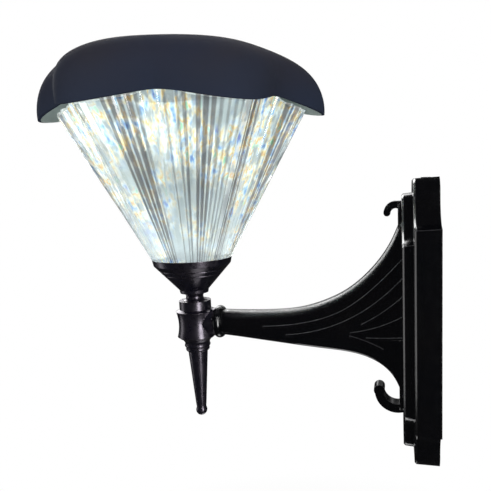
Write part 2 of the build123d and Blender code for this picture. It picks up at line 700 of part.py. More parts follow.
def engine_housing():
    body = post(SKIRT_R, SKIRT_Z, DECK_TOP) - post(SKIRT_IN_R, SKIRT_Z - OVERSHOOT, DECK_LOW)
    ledge_in = COLLAR_R + 2 * SLIDE_GAP
    root = SKIRT_IN_R + SKIRT_WALL / 2
    margin = SLIDE_GAP / LUG_R * 180 / pi
    for i in range(LUGS):
        start = i * 360 / LUGS - LUG_ANGLE / 2
        body += sector(ledge_in, root, SKIRT_Z, SKIRT_Z + LEDGE_T, start, LUG_ANGLE)
        locked = start + LUG_ANGLE + margin
        free = start - TWIST - margin - STOP_ANGLE
        for stop in (locked, free):
            body += sector(ledge_in, root, LUG_Z, LUG_Z + LUG_T, stop, STOP_ANGLE)
    for x, y in board_corners():
        body += post(BOARD_POST_R, DECK_TOP - DECK_T / 2, BOARD_Z, x, y)
    for angle in BOSS_ANGLES:
        x, y = on_circle(BOSS_OUT, angle)
        body -= post(DECK_SCREW_R + THREAD_GAP, DECK_LOW - OVERSHOOT, DECK_TOP + OVERSHOOT, x, y)
    return body - post(BUTTON_R + SLIDE_GAP, DECK_LOW - OVERSHOOT, DECK_TOP + OVERSHOOT, BUTTON_OUT, 0)


def housing_screws():
    screws = []
    for angle in BOSS_ANGLES:
        x, y = on_circle(BOSS_OUT, angle)
        shank = post(DECK_SCREW_R, DECK_LOW, DECK_TOP + DECK_SCREW_DEPTH, x, y)
        screws.append(shank + post(DECK_SCREW_HEAD_R, DECK_LOW - DECK_SCREW_HEAD_H, DECK_LOW, x, y))
    return Compound(children=screws)


def control_board():
    width = BOARD_X[1] - BOARD_X[0]
    depth = BOARD_Y[1] - BOARD_Y[0]
    middle = Pos(sum(BOARD_X) / 2, sum(BOARD_Y) / 2, BOARD_Z)
    return middle * Box(width, depth, BOARD_T, align=UP)


def board_switch():
    return Pos(BUTTON_OUT, 0, SWITCH_Z) * Box(SWITCH_SIZE, SWITCH_SIZE, SWITCH_H, align=UP)


def battery_cell():
    z = DECK_TOP + CELL_FLOOR + CELL_R
    return Pos(0, CELL_Y, z) * Rot(0, 90, 0) * Cylinder(CELL_R, CELL_L)


def battery_contacts():
    z = DECK_TOP + CELL_FLOOR + CELL_R
    place = CELL_L / 2 + CONTACT_T / 2
    plates = [Pos(x * place, CELL_Y, z) * Box(CONTACT_T, CONTACT_W, CONTACT_W) for x in (1, -1)]
    return Compound(children=plates)


def battery_holder():
    length = CELL_L + 2 * CONTACT_T
    base = Pos(0, CELL_Y, DECK_TOP) * Box(length + 2 * CRADLE_WALL, CRADLE_W, CELL_FLOOR, align=UP)
    for x in (1, -1):
        place = x * (length + CRADLE_WALL) / 2
        base += Pos(place, CELL_Y, DECK_TOP) * Box(CRADLE_WALL, CRADLE_W, CRADLE_H, align=UP)
    return base


def led_board():
    return post(LED_BOARD_R, DECK_LOW - LED_BOARD_T, DECK_LOW)


def led_chips():
    chips = []
    for i in range(LED_COUNT):
        chip = Pos(LED_OUT, 0, DECK_LOW - LED_BOARD_T) * Box(LED_SIZE, LED_SIZE, LED_T, align=DOWN)
        chips.append(Rot(0, 0, i * 360 / LED_COUNT) * chip)
    return Compound(children=chips)


def lens_radius():
    """Outer radius of the lens over the light board."""
    return LED_BOARD_R + SEAT_GAP + LENS_WALL


def dome_line(radius, base, drop):
    """Half of a shallow dome that hangs from a height, as an arc from its edge to its lowest point."""
    ball = (radius ** 2 + drop ** 2) / (2 * drop)
    half = radius / 2
    middle = base + ball - drop - (ball ** 2 - half ** 2) ** 0.5
    return ThreePointArc((radius, base), (half, middle), (0, base - drop))


def led_lens():
    """A dome below a straight rim that goes round the light board."""
    outer = lens_radius()
    inner = outer - LENS_WALL
    base = DECK_LOW - LED_BOARD_T - LED_T
    low = base - LENS_DROP
    outline = [
        Polyline((inner, base), (inner, DECK_LOW), (outer, DECK_LOW), (outer, base)),
        dome_line(outer, base, LENS_DROP),
        Line((0, low), (0, low + LENS_WALL)),
        dome_line(inner, base, LENS_DROP - LENS_WALL),
    ]
    return turned(*outline)


def reflector():
    inner = lens_radius() + SEAT_GAP
    land = inner + REFLECTOR_LAND
    low = DECK_LOW - REFLECTOR_T
    edge = DECK_LOW - REFLECTOR_DROP
    outline = [
        Polyline((inner, DECK_LOW), (land, DECK_LOW), (REFLECTOR_R, edge + REFLECTOR_T), (REFLECTOR_R, edge),
                 (land, low), (inner, low), (inner, DECK_LOW)),
    ]
    hole = post(BEZEL_R + SEAT_GAP, edge - OVERSHOOT, DECK_LOW + OVERSHOOT, BUTTON_OUT, 0)
    return turned(*outline) - hole


def button_bezel():
    ring = tube(BEZEL_R, BUTTON_R + GUIDE_GAP, DECK_LOW - BEZEL_H, DECK_LOW)
    return Pos(BUTTON_OUT, 0, 0) * ring


def power_button():
    shaft = post(BUTTON_R, BUTTON_HEAD_Z - BUTTON_L, BUTTON_HEAD_Z)
    shaft = fillet(shaft.faces().sort_by(Axis.Z)[0].edges(), BUTTON_EDGE)
    head = post(BUTTON_HEAD_R, BUTTON_HEAD_Z, BUTTON_HEAD_Z + BUTTON_HEAD_H)
    return Pos(BUTTON_OUT, 0, 0) * (shaft + head)


WALL_PIECES = [wall_plate, wall_bracket, lock_screws, arm, arm_screws, arm_ring, arm_stud]
STEM_PIECES = [tee, drop_collar, finial, stem, lock_washer, lock_nut, neck_spool, cup, diffuser_seal]
HEAD_PIECES = [
    diffuser, cap_gasket, cap, panel_seal, solar_panel, panel_leads, engine_housing, housing_screws,
    control_board, board_switch, battery_cell, battery_contacts, battery_holder, led_board, led_chips,
    led_lens, reflector, button_bezel, power_button,
]
LAMP_PLACE = Pos(0, -LAMP_OUT, 0)
HEAD_PLACE = LAMP_PLACE * Rot(0, 0, HEAD_TURN)

os.makedirs("parts", exist_ok=True)
for place, pieces in ((Pos(0, 0, 0), WALL_PIECES), (LAMP_PLACE, STEM_PIECES), (HEAD_PLACE, HEAD_PIECES)):
    for piece in pieces:
        export_step(place * piece(), "parts/" + piece.__name__ + ".step")
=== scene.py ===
import json
from math import cos, pi, radians, sin

import bpy
from mathutils import Matrix, Vector


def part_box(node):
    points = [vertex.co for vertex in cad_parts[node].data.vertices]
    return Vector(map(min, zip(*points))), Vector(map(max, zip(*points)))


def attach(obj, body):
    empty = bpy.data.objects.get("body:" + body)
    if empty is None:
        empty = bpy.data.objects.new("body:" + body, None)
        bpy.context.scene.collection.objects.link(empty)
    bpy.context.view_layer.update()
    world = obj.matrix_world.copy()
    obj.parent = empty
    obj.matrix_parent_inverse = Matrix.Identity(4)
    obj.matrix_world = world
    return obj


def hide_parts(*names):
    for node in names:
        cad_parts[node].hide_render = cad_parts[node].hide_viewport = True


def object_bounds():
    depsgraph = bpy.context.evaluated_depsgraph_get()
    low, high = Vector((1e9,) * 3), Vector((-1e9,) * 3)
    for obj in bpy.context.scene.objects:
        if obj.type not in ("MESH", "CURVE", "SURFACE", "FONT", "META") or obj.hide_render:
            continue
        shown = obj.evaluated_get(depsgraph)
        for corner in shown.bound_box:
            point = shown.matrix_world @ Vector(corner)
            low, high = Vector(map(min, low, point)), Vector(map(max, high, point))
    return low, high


# Looks of the solar wall light. Metres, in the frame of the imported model.
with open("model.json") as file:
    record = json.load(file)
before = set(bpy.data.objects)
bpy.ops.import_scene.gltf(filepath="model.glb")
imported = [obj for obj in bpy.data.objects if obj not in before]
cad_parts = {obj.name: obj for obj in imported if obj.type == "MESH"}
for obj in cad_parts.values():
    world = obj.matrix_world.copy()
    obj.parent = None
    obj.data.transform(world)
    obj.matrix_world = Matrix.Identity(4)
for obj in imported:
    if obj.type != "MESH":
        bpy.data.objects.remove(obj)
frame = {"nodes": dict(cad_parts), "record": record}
cad_low, cad_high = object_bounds()
NODES = frame["nodes"]
MIDDLE = (cad_low + cad_high) / 2

# Places read from the frame
cup_low, cup_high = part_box("cup")
diffuser_low, diffuser_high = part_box("diffuser")
gasket_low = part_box("cap_gasket")[0]
seal_low, seal_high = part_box("diffuser_seal")
stem_low, stem_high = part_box("stem")
plate_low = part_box("wall_plate")[0]
AXIS = (cup_low + cup_high) / 2             # on the lamp axis
AXIS.z = 0.0
CUP_RIM_Z = cup_high.z
HEAD_Z = gasket_low.z                       # top of the diffuser's flange
FOOT_Z = diffuser_low.z
FOOT_R = (seal_high.x - seal_low.x) / 2
COLLAR_TOP = diffuser_high.z
STEM_GAP = 0.00015                          # round the stem, in the diffuser's floor
HOLE_R = (stem_high.x - stem_low.x) / 2 + STEM_GAP

# Head, as in the solids
HEAD_TURN = radians(10.8)                   # turn of the petals against the arm
PANEL_HALF = 0.027

# Diffuser, as in the solids
PETALS = 6
REEDS = 60
LOBE_R = 0.0867
VALLEY_R = 0.070
WALL_FOOT_R = 0.0288
REED_DEPTH_TOP = 0.0015
REED_DEPTH_FOOT = 0.0007
WALL = 0.003
FLOOR_T = 0.003
FLANGE_T = 0.0025
TOP_LIFT = 0.0032
TOP_WAVE = 0.0027
UPSTAND_H = 0.008
UPSTAND_R = 0.0755
COLLAR_R = 0.052
COLLAR_WALL = 0.0025

# Diffuser, finer than the solids
REED_STEPS = 6                              # mesh columns on each reed
COLUMNS = REEDS * REED_STEPS
WALL_ROWS = 10
PRISM_ROWS = 24
PRISM_DEPTH = 0.0003
TOP_EDGE = 0.0004                           # how far the inside stops below the top edge
FLANGE_GAP = 0.0008                         # between the wall's inside and the flange
SHARP_ANGLE = radians(30)

# Diffuser, its look: painted shade lines, painted glints and painted glow
ACRYLIC_IOR = 1.49
LINES = 2                                   # places for a painted shade line on each reed
CLOUD_TURN = radians(-52)                   # middle of the side with the painted cloudy glow, from the front valley
GLINTS_ACROSS = 1.8                         # on each reed
GLINTS_ALONG = 11.0                         # from the cup to the head
HUE_SEED = 4.0
GLINT_SEED = 9.0
# Colours of the painted glints
GLINT_HUES = (
    (0.0, (0.12, 0.20, 0.66)), (0.2, (0.32, 0.60, 0.95)), (0.34, (0.74, 0.86, 0.94)),
    (0.5, (0.95, 0.95, 0.86)), (0.64, (1.0, 0.84, 0.40)), (0.76, (0.93, 0.56, 0.22)),
    (0.86, (0.80, 0.92, 0.84)), (1.0, (0.36, 0.78, 0.46)),
)
# Colours of the painted cloudy glow
CLOUD_HUES = (
    (0.0, (0.36, 0.48, 0.84)), (0.3, (0.62, 0.80, 0.88)), (0.6, (0.84, 0.93, 0.90)),
    (1.0, (0.94, 0.82, 0.62)),
)

# Cap, its look
RIM_BAND = 0.035                            # height over which the rim's blue cast fades
CEILING_RISE = 0.02                         # the inside of the top starts this far above the flange
FACING_IN = -0.3                            # below this, a face looks towards the lamp axis
FACING_DOWN = -0.5

# Panel, its look
CELLS = 5
CELL_HALF = 0.475                           # half widths, as a share of the spacing
BARS = 3
BAR_HALF = 0.022
FINGERS = 75
FINGER_HALF = 0.09
PANEL_BORDER = 0.002

# Paint on the arm
ARM_ROUND = 0.008                           # how far down the light runs over the upper edges
ARM_LOW = -0.03                             # the lower scroll lies below this height
PLATE_GAP = 0.001
PLATE_FRONT = plate_low.y - PLATE_GAP       # the arm lies in front of this

# Surface detail
FINE_HEIGHT = 0.00002                       # heights of grain, peel and waves
GRAIN_HEIGHT = 0.00003
WAVE_HEIGHT = 0.00005
CAST_EDGE = 0.0006                          # rounding of edges
TURNED_EDGE = 0.0005
SMALL_EDGE = 0.0003
EDGE_SAMPLES = 6
EDGE_TURN = (0.9, 0.995)                    # agreement of rounded and plain surface, at an edge and off it

# Room
ROOM_LEVEL = 0.45                           # light of the world on the object
ROOM_SIDE = 0.025                           # what gloss and glass see behind the camera
GLASS_REACH = (-0.1, 0.65)                  # between these, along X, the white fades for glass
GLOSS_REACH = (-0.99, -0.93)                # the same for gloss
GLOSS_LOW = (-0.02, 0.12)                   # between these, along Z, the white rises for gloss

# Floor
FLOOR_Z = -0.42
FLOOR_SIZE = 6.0
FLOOR_GLOW = (0.7, 1.0)                     # share of plain white in its look, below the light and far off
FLOOR_FADE = (0.2, 0.55)                    # distances between which that share grows

# Lights: name, place, aim, width, height and watts
SOFT_LIGHTS = (
    ("key_right", (0.62, 1.0, 0.45), MIDDLE, 0.9, 0.9, 6.0),
    ("top", (-0.55, -0.1, 1.1), MIDDLE, 1.2, 1.2, 3.5),
    ("fill_front", (1.2, -0.5, 0.5), MIDDLE, 1.5, 1.5, 7.5),
)
GLOSS_LIGHTS = (
    ("strip_right", (0.69, 0.54, 0.05), AXIS, 0.32, 1.1, 11.0),
    ("strip_left", (0.05, -1.1, -0.12), MIDDLE, 0.36, 0.7, 0.9),
    ("over_arm", (-0.62, -0.36, 0.72), MIDDLE, 0.6, 0.7, 5.0),
    ("over_lamp", (-0.62, -0.74, 0.42), MIDDLE, 0.7, 0.7, 7.0),
    ("behind_arm", (-1.14, -0.40, 0.265), MIDDLE, 0.36, 0.16, 0.24),
    ("under_cup", (-0.09, -0.13, -0.40), AXIS, 0.18, 0.18, 0.2),
)

# Camera, fitted to the photograph
CAMERA_PLACE = Vector((0.39323, -0.02722, 0.09759))
CAMERA_YAW = radians(8.49)
CAMERA_PITCH = radians(8.17)
CAMERA_ROLL = radians(-1.79)
CAMERA_SENSOR = 36.0                        # millimetres
CAMERA_LENS = 41.256
CAMERA_SHIFT = (-0.1408, 0.0377)
CAMERA_NEAR = 0.01

# Numbers of a mix node's two inputs and its output, by what it mixes
MIX_SOCKETS = {"FLOAT": (2, 3, 0), "VECTOR": (4, 5, 1), "RGBA": (6, 7, 2)}


def rgb(red, green, blue):
    return (red, green, blue, 1.0)


WHITE = rgb(1.0, 1.0, 1.0)
COOL_WHITE = rgb(0.86, 0.95, 1.0)


class Graph:
    """A node tree, with short calls that add nodes to it."""

    def __init__(self, tree):
        self.nodes = tree.nodes
        self.links = tree.links

    def node(self, kind, **settings):
        made = self.nodes.new(kind)
        for name, value in settings.items():
            setattr(made, name, value)
        return made

    def feed(self, made, inputs):
        """Sets or links a node's inputs, by number or name, and returns the node."""
        for key, value in inputs.items():
            if isinstance(value, bpy.types.NodeSocket):
                self.links.new(value, made.inputs[key])
            else:
                made.inputs[key].default_value = value
        return made

    def math(self, operation, first, second=0.0):
        made = self.node("ShaderNodeMath", operation=operation)
        return self.feed(made, {0: first, 1: second}).outputs[0]

    def product(self, first, second):
        return self.math("MULTIPLY", first, second)

    def vectors(self, operation, *operands):
        """The outputs of an operation on one or two vectors."""
        made = self.node("ShaderNodeVectorMath", operation=operation)
        return self.feed(made, dict(enumerate(operands))).outputs

    def split(self, vector):
        """The x, y and z of a vector."""
        return self.feed(self.node("ShaderNodeSeparateXYZ"), {"Vector": vector}).outputs

    def vector(self, x, y, z=0.0):
        return self.feed(self.node("ShaderNodeCombineXYZ"), {"X": x, "Y": y, "Z": z}).outputs[0]

    def remap(self, value, low, high, from_low=0.3, from_high=0.7):
        """A number that runs from low to high while the value runs from from_low to from_high."""
        made = self.node("ShaderNodeMapRange")
        return self.feed(made, {0: value, 1: from_low, 2: from_high, 3: low, 4: high}).outputs[0]

    def between(self, share, low, high):
        """A number that runs from low to high while the share runs from 0 to 1."""
        return self.remap(share, low, high, 0.0, 1.0)

    def mix(self, share, first, second, kind="RGBA"):
        left, right, result = MIX_SOCKETS[kind]
        made = self.node("ShaderNodeMix", data_type=kind)
        return self.feed(made, {0: share, left: first, right: second}).outputs[result]

    def backdrop_rays(self):
        """Masks of the rays that see the backdrop: all of them, those of the camera, and those by gloss."""
        path = self.node("ShaderNodeLightPath").outputs
        sees = path["Is Camera Ray"]
        for ray in ("Is Glossy Ray", "Is Transmission Ray"):
            sees = self.math("MAXIMUM", sees, path[ray])
        return sees, path["Is Camera Ray"], path["Is Glossy Ray"]


class Shader(Graph):
    """A Principled material. Its inputs are named with _ for a space."""

    def __init__(self, name, **inputs):
        self.material = bpy.data.materials.new(name)
        self.material.use_nodes = True
        super().__init__(self.material.node_tree)
        self.bsdf = self.nodes["Principled BSDF"]
        self.set(**inputs)
        self.place = self.node("ShaderNodeTexCoord").outputs["Object"]

    def set(self, **inputs):
        self.feed(self.bsdf, {name.replace("_", " "): value for name, value in inputs.items()})

    def noise(self, scale, detail=3.0, where=None):
        made = self.node("ShaderNodeTexNoise")
        self.feed(made, {"Vector": where or self.place, "Scale": scale, "Detail": detail})
        return made.outputs["Fac"]

    def wander(self, scale, low, high, detail=3.0):
        """A number that wanders between low and high over the surface."""
        return self.remap(self.noise(scale, detail), low, high)

    def mottle(self, scale, dark, light):
        """A colour that wanders between two."""
        return self.mix(self.wander(scale, 0.0, 1.0), rgb(*dark), rgb(*light))

    def white_noise(self, value):
        """A steady random number for each whole number."""
        made = self.node("ShaderNodeTexWhiteNoise", noise_dimensions="1D")
        return self.feed(made, {"W": value}).outputs["Value"]

    def off_middle(self, value):
        """How far a number is from the middle between two whole numbers."""
        return self.math("ABSOLUTE", self.math("SUBTRACT", self.math("FRACT", value), 0.5))

    def ramp(self, value, stops):
        made = self.node("ShaderNodeValToRGB")
        elements = made.color_ramp.elements
        while len(elements) < len(stops):
            elements.new(0.5)
        for element, (place, colour) in zip(elements, stops):
            element.position = place
            element.color = rgb(*colour)
        return self.feed(made, {"Fac": value}).outputs["Color"]

    def bump(self, height, distance, strength, normal=None):
        made = self.node("ShaderNodeBump")
        self.feed(made, {"Height": height, "Distance": distance, "Strength": strength})
        if normal is not None:
            self.feed(made, {"Normal": normal})
        self.set(Normal=made.outputs["Normal"])

    def plain_normal(self):
        return self.node("ShaderNodeNewGeometry").outputs["Normal"]

    def soft_edges(self, radius):
        """The surface normal, rounded where faces meet."""
        made = self.node("ShaderNodeBevel", samples=EDGE_SAMPLES)
        return self.feed(made, {"Radius": radius}).outputs["Normal"]

    def edge_mask(self, soft):
        """1 along edges, 0 on faces."""
        agreement = self.vectors("DOT_PRODUCT", soft, self.plain_normal())["Value"]
        return self.remap(agreement, 1.0, 0.0, *EDGE_TURN)

    def about_lamp(self):
        """The place measured from the lamp axis, as x, y and z."""
        return self.split(self.vectors("SUBTRACT", self.place, AXIS)["Vector"])

    def about_head(self):
        """The place measured from the lamp axis, turned with the head, as x, y and z."""
        turned = self.node("ShaderNodeVectorRotate", rotation_type="Z_AXIS")
        self.feed(turned, {"Vector": self.place, "Center": AXIS, "Angle": -HEAD_TURN})
        return self.split(self.vectors("SUBTRACT", turned.outputs[0], AXIS)["Vector"])


# Finishes: a material for each slot of the record, and two more for the diffuser


def cap_plastic():
    """Matte charcoal outside with a blue cast, pale inside, with a fine moulded grain."""
    s = Shader("cap_plastic", Specular_IOR_Level=0.03)
    x, y, z = s.about_lamp()
    cast = s.wander(14.0, 0.0, 1.0, 2.0)
    outside = s.mix(cast, rgb(0.032, 0.028, 0.031), rgb(0.021, 0.026, 0.046))
    rim = s.remap(z, 0.8, 0.0, HEAD_Z, HEAD_Z + RIM_BAND)
    outside = s.mix(rim, outside, rgb(0.022, 0.030, 0.052))
    inside = s.mix(cast, rgb(0.44, 0.50, 0.48), rgb(0.52, 0.58, 0.57))
    normal = s.plain_normal()
    away = s.vectors("NORMALIZE", s.vector(x, y))["Vector"]
    facing = s.vectors("DOT_PRODUCT", away, normal)["Value"]
    inwards = s.math("LESS_THAN", facing, FACING_IN)
    downwards = s.math("LESS_THAN", s.split(normal)["Z"], FACING_DOWN)
    ceiling = s.product(downwards, s.math("GREATER_THAN", z, HEAD_Z + CEILING_RISE))
    turned_in = s.math("MAXIMUM", inwards, ceiling)
    s.set(Base_Color=s.mix(turned_in, outside, inside))
    s.set(Roughness=s.wander(160.0, 0.84, 0.96))
    s.bump(s.noise(2600.0, 2.0), GRAIN_HEIGHT, 0.6, s.soft_edges(CAST_EDGE))
    return s.material


def solar_glass():
    """Dark blue cells with silver lines under a clear face."""
    s = Shader("solar_glass", Roughness=0.12, Coat_Weight=1.0, Coat_Roughness=0.03)
    x, y, _ = s.about_head()
    across = s.math("DIVIDE", s.math("ADD", x, PANEL_HALF), 2 * PANEL_HALF)
    along = s.math("DIVIDE", s.math("ADD", y, PANEL_HALF), 2 * PANEL_HALF)

    def stripes(place, count, half):
        """1 on each of count stripes, 0 between them."""
        return s.math("LESS_THAN", s.off_middle(s.product(place, count)), half)

    number = s.white_noise(s.math("FLOOR", s.product(across, CELLS)))
    cell = s.mix(number, rgb(0.008, 0.014, 0.055), rgb(0.014, 0.026, 0.085))
    cell = s.mix(s.wander(300.0, 0.0, 0.5), cell, rgb(0.02, 0.04, 0.13))
    finger = s.product(stripes(across, FINGERS, FINGER_HALF), 0.35)
    cell = s.mix(finger, cell, rgb(0.35, 0.37, 0.4))
    bar = s.product(stripes(along, BARS, BAR_HALF), 0.85)
    cell = s.mix(bar, cell, rgb(0.6, 0.61, 0.62))
    cell = s.mix(stripes(across, CELLS, CELL_HALF), rgb(0.012, 0.012, 0.014), cell)
    from_middle = s.math("MAXIMUM", s.math("ABSOLUTE", x), s.math("ABSOLUTE", y))
    inside = s.math("LESS_THAN", from_middle, PANEL_HALF - PANEL_BORDER)
    s.set(Base_Color=s.mix(inside, rgb(0.01, 0.01, 0.012), cell))
    s.bump(s.noise(90.0, 1.0), FINE_HEIGHT, 0.4)
    return s.material


def by_turn(s):
    """The turn about the lamp axis, the way from a valley (0) to a lobe (0.5), and the height."""
    x, y, z = s.about_head()
    turn = s.math("ARCTAN2", y, x)
    valley = s.off_middle(s.math("ADD", s.product(turn, PETALS / (2 * pi)), 0.5))
    height = s.math("DIVIDE", s.math("SUBTRACT", z, CUP_RIM_Z), HEAD_Z - CUP_RIM_Z)
    return turn, valley, height


def streaks(s, turn, height, seed):
    """Soft noise drawn out along the reeds."""
    across = s.product(turn, GLINTS_ACROSS * REEDS / (2 * pi))
    along = s.product(height, GLINTS_ALONG)
    return s.noise(1.0, 2.0, s.vector(across, along, seed))


def cloud_mask(s, turn):
    """1 on the two sides of the diffuser where its prisms blur into clouds of painted glow, 0 where they
    stay lined with painted shade.
    """
    swing = s.math("COSINE", s.product(s.math("SUBTRACT", turn, CLOUD_TURN), 2.0))
    return s.remap(swing, 0.0, 1.0, 0.4, 0.75)


def clear_acrylic():
    """Clear moulding. On the diffuser, greyish-brown lines of painted shade run along the reeds, most
    beside a valley: painted refraction of dark surroundings.
    """
    s = Shader("clear_acrylic", Transmission_Weight=1.0, IOR=ACRYLIC_IOR)
    turn, valley, height = by_turn(s)
    track = s.product(turn, REEDS * LINES / (2 * pi))
    number = s.white_noise(s.math("FLOOR", track))
    beside_valley = s.remap(valley, 0.0, 1.0, 0.12, 0.2)
    beside_lobe = s.remap(valley, 1.0, 0.0, 0.36, 0.44)
    flank = s.product(beside_valley, beside_lobe)
    line_half = s.between(flank, 0.12, 0.27)
    line_end = s.between(flank, 0.34, 0.45)
    line = s.remap(s.off_middle(track), 1.0, 0.0, line_half, line_end)
    lined = s.math("SUBTRACT", 1.0, cloud_mask(s, turn))
    share = s.product(s.between(flank, 0.8, 0.95), s.between(lined, 0.2, 1.0))
    clear_share = s.math("SUBTRACT", 1.0, share)
    dark = s.remap(number, 0.0, 1.0, clear_share, s.math("ADD", clear_share, 0.25))
    depth = s.product(s.remap(height, 0.8, 0.97, 0.0, 0.3), s.between(flank, 0.75, 1.0))
    # Painted shade: dark lines along the reeds that stand in for the dark surroundings the reeds bend into
    # view.
    painted_shade_lines = s.product(line, s.product(dark, depth))
    clear = s.mottle(60.0, (0.66, 0.73, 0.72), (0.80, 0.85, 0.85))
    shade_line_colour = s.mix(number, rgb(0.16, 0.13, 0.12), rgb(0.09, 0.085, 0.09))
    s.set(Base_Color=s.mix(painted_shade_lines, clear, shade_line_colour))
    s.set(Roughness=s.remap(s.noise(45.0, 1.0), 0.0, 0.12, 0.45, 0.65))
    return s.material


def frosted_rim():
    """The diffuser's flange and rim, dulled by the mould, with a painted glow of the chips' light."""
    s = Shader("frosted_rim", Transmission_Weight=0.3, IOR=ACRYLIC_IOR, Emission_Color=COOL_WHITE)
    s.set(Base_Color=s.mottle(90.0, (0.70, 0.76, 0.74), (0.82, 0.86, 0.85)))
    s.set(Roughness=s.wander(160.0, 0.25, 0.4))
    # Painted glow: the chips' light in the flange, as a faint cool white emission.
    s.set(Emission_Strength=s.wander(120.0, 0.2, 0.4))
    return s.material


def lit_prisms():
    """The diffuser's inner face: small prisms, with the chips' light that they break painted in as coloured
    glints, a cloudy glow on two sides and a glow strongest low down.
    """
    s = Shader("lit_prisms", Transmission_Weight=0.55, IOR=ACRYLIC_IOR, Roughness=0.04)
    turn, _, height = by_turn(s)
    # Painted glints: spots of colour and emission that stand in for the chips' light broken by the prisms.
    hue = s.ramp(s.remap(streaks(s, turn, height, HUE_SEED), 0.0, 1.0), GLINT_HUES)
    sparse = s.remap(height, 0.42, 0.33, 0.3, 0.9)
    patch = s.remap(s.noise(26.0, 2.0), 0.0, 1.0, sparse, s.math("ADD", sparse, 0.13))
    painted_glint = s.product(patch, s.remap(streaks(s, turn, height, GLINT_SEED), 0.0, 1.0, 0.40, 0.52))
    # Painted glow: pale clouds of colour and emission on two sides, standing in for the chips' light spread
    # by the prisms.
    cloud_glow = s.product(cloud_mask(s, turn), s.wander(75.0, 0.15, 0.6))
    glow_hue = s.ramp(s.remap(s.noise(95.0), 0.0, 1.0, 0.34, 0.66), CLOUD_HUES)
    plain = s.mix(cloud_glow, rgb(0.56, 0.63, 0.64), glow_hue)
    s.set(Base_Color=s.mix(s.product(painted_glint, 0.9), plain, hue))
    s.set(Emission_Color=s.mix(painted_glint, s.mix(cloud_glow, COOL_WHITE, glow_hue), hue))
    # Painted glow, strongest low down towards the cup, standing in for the chips' light spreading through
    # the wall.
    glow = s.remap(height, 0.46, 0.16, 0.0, 0.5)
    lit = s.math("ADD", glow, s.product(cloud_glow, 0.26))
    s.set(Emission_Strength=s.math("ADD", lit, s.product(painted_glint, 0.34)))
    return s.material


def bronze_paint():
    """Dark bronze satin paint with a purple sheen, rubbed a little on its edges."""
    s = Shader("bronze_paint", Specular_IOR_Level=1.0, Specular_Tint=rgb(0.95, 0.86, 1.0))
    soft = s.soft_edges(TURNED_EDGE)
    body = s.mottle(45.0, (0.0018, 0.0026, 0.0075), (0.0045, 0.0036, 0.0070))
    lighter_edges = s.product(s.edge_mask(soft), s.wander(700.0, 0.05, 0.4))
    s.set(Base_Color=s.mix(lighter_edges, body, rgb(0.06, 0.045, 0.045)))
    s.set(Roughness=s.wander(240.0, 0.25, 0.35))
    s.bump(s.noise(1500.0, 2.0), GRAIN_HEIGHT, 0.5, soft)
    return s.material


def black_paint():
    """Glossy black paint on a casting, with a slight orange peel, soft over the arm's upper edges, and a
    painted highlight along its edges, strongest where they face up.
    """
    s = Shader("black_paint", Specular_IOR_Level=0.8)
    soft = s.soft_edges(CAST_EDGE)
    body = s.mottle(30.0, (0.0007, 0.0010, 0.0020), (0.0016, 0.0015, 0.0022))
    # Lighter grey along the edges, strongest where an edge faces up: a painted highlight, with a little
    # wear in its random strength.
    lighter_edges = s.product(s.edge_mask(soft), s.wander(500.0, 0.2, 0.7))
    lighter_edges = s.product(lighter_edges, s.remap(s.split(soft)["Z"], 0.1, 1.0, 0.0, 0.3))
    s.set(Base_Color=s.mix(lighter_edges, body, rgb(0.16, 0.16, 0.17)))
    s.set(Roughness=s.wander(180.0, 0.10, 0.20))
    wide = s.soft_edges(ARM_ROUND)
    rising = s.remap(s.split(wide)["Z"], 0.0, 1.0, 0.12, 0.35)
    _, y, z = s.split(s.place)
    on_arm = s.product(s.math("LESS_THAN", y, PLATE_FRONT), s.math("GREATER_THAN", z, ARM_LOW))
    rounded = s.mix(s.product(on_arm, rising), soft, wide, "VECTOR")
    s.bump(s.noise(700.0, 2.0), GRAIN_HEIGHT, 0.4, rounded)
    return s.material


def steel():
    """Zinc-plated steel with fine streaks."""
    s = Shader("steel", Metallic=1.0)
    drawn = s.feed(s.node("ShaderNodeMapping"), {"Vector": s.place, "Scale": (600.0, 600.0, 40.0)})
    fine = s.noise(1.0, 4.0, drawn.outputs[0])
    s.set(Base_Color=s.mix(s.remap(fine, 0.0, 1.0), rgb(0.50, 0.50, 0.50), rgb(0.66, 0.66, 0.64)))
    s.set(Roughness=s.remap(fine, 0.25, 0.45))
    s.bump(fine, FINE_HEIGHT, 0.4, s.soft_edges(SMALL_EDGE))
    return s.material


def moulded(name, dark, light, roughness, grain):
    """A plain moulding or rubber: two close colours, a grain and slightly rounded edges."""
    s = Shader(name)
    s.set(Base_Color=s.mottle(grain / 20, dark, light))
    s.set(Roughness=s.wander(grain / 5, roughness - 0.08, roughness + 0.08))
    s.bump(s.noise(grain, 2.0), GRAIN_HEIGHT, 0.5, s.soft_edges(SMALL_EDGE))
    return s.material


def silvered():
    """Bright silvered plastic with a faint moulding waviness."""
    s = Shader("silvered", Metallic=1.0)
    s.set(Base_Color=s.mottle(80.0, (0.82, 0.83, 0.84), (0.90, 0.90, 0.90)))
    s.set(Roughness=s.wander(120.0, 0.08, 0.16))
    s.bump(s.noise(150.0, 1.0), WAVE_HEIGHT, 0.5)
    return s.material


def board_green():
    """A circuit board: solder mask over a maze of tracks."""
    s = Shader("board_green", Roughness=0.35, Coat_Weight=0.4)
    tracks = s.feed(s.node("ShaderNodeTexBrick"), {
        "Vector": s.place, "Scale": 260.0, "Mortar Size": 0.03,
        "Color1": rgb(0.02, 0.16, 0.06), "Color2": rgb(0.03, 0.20, 0.08), "Mortar": rgb(0.05, 0.30, 0.13),
    }).outputs
    s.set(Base_Color=tracks["Color"])
    s.bump(tracks["Fac"], GRAIN_HEIGHT, 0.5)
    return s.material


def chip_yellow():
    """Phosphor faces of the lit chips."""
    s = Shader("chip_yellow", Roughness=0.3, Emission_Strength=4.0, Emission_Color=rgb(0.92, 0.97, 1.0))
    s.set(Base_Color=s.mottle(900.0, (0.95, 0.85, 0.45), (1.0, 0.93, 0.65)))
    return s.material


